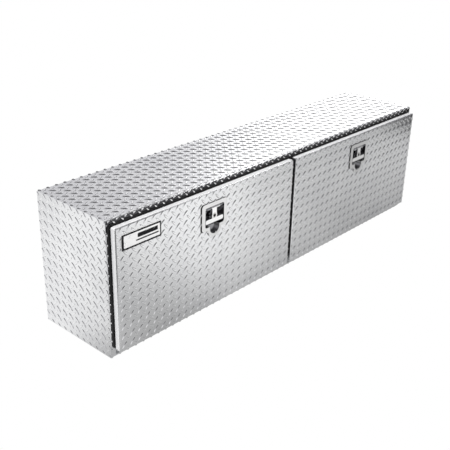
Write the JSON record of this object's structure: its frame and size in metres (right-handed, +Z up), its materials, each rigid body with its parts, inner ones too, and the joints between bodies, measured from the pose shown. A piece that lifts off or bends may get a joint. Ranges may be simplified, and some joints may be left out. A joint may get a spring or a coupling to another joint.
{
  "type": "truck tool box",
  "caption": "Long truck tool box in aluminium tread plate with side-by-side drop-down doors on continuous hinges, recessed pull latches and slotted stays.",
  "frame": {"origin": "bottom centre of the whole box, on the surface it stands on", "axes": "+X along the length, left to right as seen facing the doors; the doors face -Y; +Z up"},
  "size_m": [1.48, 0.3124, 0.406],
  "materials": {
    "tread_plate": "bright diamond tread plate",
    "mill_aluminium": "plain mill-finish sheet",
    "hinge_steel": "dull continuous hinge",
    "rubber": "matt black",
    "nylon": "matt black",
    "label": "blank white plate with a dark border",
    "lock_metal": "plated die-cast lock",
    "polished_stainless": "polished",
    "handle_metal": "satin stainless",
    "stainless": "brushed",
    "zinc_steel": "zinc plated"
  },
  "bodies": {
    "box": {"body_wrap": "tread_plate", "left_end_panel": "tread_plate", "right_end_panel": "tread_plate", "center_post": "tread_plate", "left_seal": "rubber", "right_seal": "rubber", "left_body_hinge_leaf": "hinge_steel", "right_body_hinge_leaf": "hinge_steel", "left_hinge_pin": "zinc_steel", "right_hinge_pin": "zinc_steel", "body_hinge_rivets": "zinc_steel", "stay_studs": "stainless", "keeper_bushes": "nylon"},
    "left_door": {"left_door_skin": "tread_plate", "left_door_liner": "mill_aluminium", "left_door_hinge_leaf": "hinge_steel", "left_door_hinge_rivets": "zinc_steel", "left_latch_dish": "polished_stainless", "left_tab_hook": "stainless", "left_latch_gasket": "rubber", "left_latch_nuts": "zinc_steel", "left_crank_clip": "zinc_steel", "left_handle_pin": "zinc_steel", "left_handle_spring": "zinc_steel", "left_rod_guides": "nylon", "left_stay_pivots": "stainless", "label_plate": "label"},
    "left_handle_body": {"left_handle": "handle_metal"},
    "left_lock_body": {"left_lock_cylinder": "lock_metal", "left_lock_tab": "zinc_steel"},
    "left_crank_body": {"left_crank": "zinc_steel"},
    "left_upper_rod_body": {"left_upper_rod": "zinc_steel"},
    "left_lower_rod_body": {"left_lower_rod": "zinc_steel"},
    "left_outer_stay_body": {"left_outer_stay": "stainless"},
    "left_inner_stay_body": {"left_inner_stay": "stainless"},
    "right_door": {"right_door_skin": "tread_plate", "right_door_liner": "mill_aluminium", "right_door_hinge_leaf": "hinge_steel", "right_door_hinge_rivets": "zinc_steel", "right_latch_dish": "polished_stainless", "right_tab_hook": "stainless", "right_latch_gasket": "rubber", "right_latch_nuts": "zinc_steel", "right_crank_clip": "zinc_steel", "right_handle_pin": "zinc_steel", "right_handle_spring": "zinc_steel", "right_rod_guides": "nylon", "right_stay_pivots": "stainless"},
    "right_handle_body": {"right_handle": "handle_metal"},
    "right_lock_body": {"right_lock_cylinder": "lock_metal", "right_lock_tab": "zinc_steel"},
    "right_crank_body": {"right_crank": "zinc_steel"},
    "right_upper_rod_body": {"right_upper_rod": "zinc_steel"},
    "right_lower_rod_body": {"right_lower_rod": "zinc_steel"},
    "right_outer_stay_body": {"right_outer_stay": "stainless"},
    "right_inner_stay_body": {"right_inner_stay": "stainless"}
  },
  "joints": [
    {"name": "left_door_swing", "type": "hinge", "parent": "box", "child": "left_door", "pos_m": [-0.3675, -0.13345, 0.02325], "axis": [1, 0, 0], "range_deg": [0, 90]},
    {"name": "left_handle_pull", "type": "hinge", "parent": "left_door", "child": "left_handle_body", "pos_m": [-0.3675, -0.14975, 0.338], "axis": [-1, 0, 0], "range_deg": [0, 30], "stiffness_Nm_per_rad": 0.3, "springref_deg": -14.32},
    {"name": "left_lock_turn", "type": "hinge", "parent": "left_handle_body", "child": "left_lock_body", "pos_m": [-0.3675, -0.15, 0.314], "axis": [0, -1, 0], "range_deg": [0, 90]},
    {"name": "left_crank_turn", "type": "hinge", "parent": "left_door", "child": "left_crank_body", "pos_m": [-0.3675, -0.13325, 0.32367], "axis": [0, 1, 0], "range_deg": [0, 34.5]},
    {"name": "left_upper_rod_slide", "type": "slide", "parent": "left_door", "child": "left_upper_rod_body", "axis": [1, 0, 0], "range_m": [0, 0.01306]},
    {"name": "left_lower_rod_slide", "type": "slide", "parent": "left_door", "child": "left_lower_rod_body", "axis": [-1, 0, 0], "range_m": [0, 0.01306]},
    {"name": "left_outer_stay_turn", "type": "hinge", "parent": "left_door", "child": "left_outer_stay_body", "pos_m": [-0.3675, -0.12145, 0.17277], "axis": [1, 0, 0], "range_deg": [-45, 0]},
    {"name": "left_inner_stay_turn", "type": "hinge", "parent": "left_door", "child": "left_inner_stay_body", "pos_m": [-0.3675, -0.12145, 0.17277], "axis": [1, 0, 0], "range_deg": [-45, 0]},
    {"name": "right_door_swing", "type": "hinge", "parent": "box", "child": "right_door", "pos_m": [0.3675, -0.13345, 0.02325], "axis": [1, 0, 0], "range_deg": [0, 90]},
    {"name": "right_handle_pull", "type": "hinge", "parent": "right_door", "child": "right_handle_body", "pos_m": [0.3675, -0.14975, 0.338], "axis": [-1, 0, 0], "range_deg": [0, 30], "stiffness_Nm_per_rad": 0.3, "springref_deg": -14.32},
    {"name": "right_lock_turn", "type": "hinge", "parent": "right_handle_body", "child": "right_lock_body", "pos_m": [0.3675, -0.15, 0.314], "axis": [0, -1, 0], "range_deg": [0, 90]},
    {"name": "right_crank_turn", "type": "hinge", "parent": "right_door", "child": "right_crank_body", "pos_m": [0.3675, -0.13325, 0.32367], "axis": [0, 1, 0], "range_deg": [0, 34.5]},
    {"name": "right_upper_rod_slide", "type": "slide", "parent": "right_door", "child": "right_upper_rod_body", "axis": [1, 0, 0], "range_m": [0, 0.01306]},
    {"name": "right_lower_rod_slide", "type": "slide", "parent": "right_door", "child": "right_lower_rod_body", "axis": [-1, 0, 0], "range_m": [0, 0.01306]},
    {"name": "right_outer_stay_turn", "type": "hinge", "parent": "right_door", "child": "right_outer_stay_body", "pos_m": [0.3675, -0.12145, 0.17277], "axis": [1, 0, 0], "range_deg": [-45, 0]},
    {"name": "right_inner_stay_turn", "type": "hinge", "parent": "right_door", "child": "right_inner_stay_body", "pos_m": [0.3675, -0.12145, 0.17277], "axis": [1, 0, 0], "range_deg": [-45, 0]}
  ],
  "couplings": [
    {"joint": "left_outer_stay_turn", "follows": "left_door_swing", "ratio": -0.5},
    {"joint": "left_inner_stay_turn", "follows": "left_door_swing", "ratio": -0.5},
    {"joint": "left_crank_turn", "follows": "left_handle_pull", "ratio": 1.15},
    {"joint": "left_upper_rod_slide", "follows": "left_handle_pull", "m_per_rad": 0.02492},
    {"joint": "left_lower_rod_slide", "follows": "left_handle_pull", "m_per_rad": 0.02492},
    {"joint": "right_outer_stay_turn", "follows": "right_door_swing", "ratio": -0.5},
    {"joint": "right_inner_stay_turn", "follows": "right_door_swing", "ratio": -0.5},
    {"joint": "right_crank_turn", "follows": "right_handle_pull", "ratio": 1.15},
    {"joint": "right_upper_rod_slide", "follows": "right_handle_pull", "m_per_rad": 0.02492},
    {"joint": "right_lower_rod_slide", "follows": "right_handle_pull", "m_per_rad": 0.02492}
  ]
}
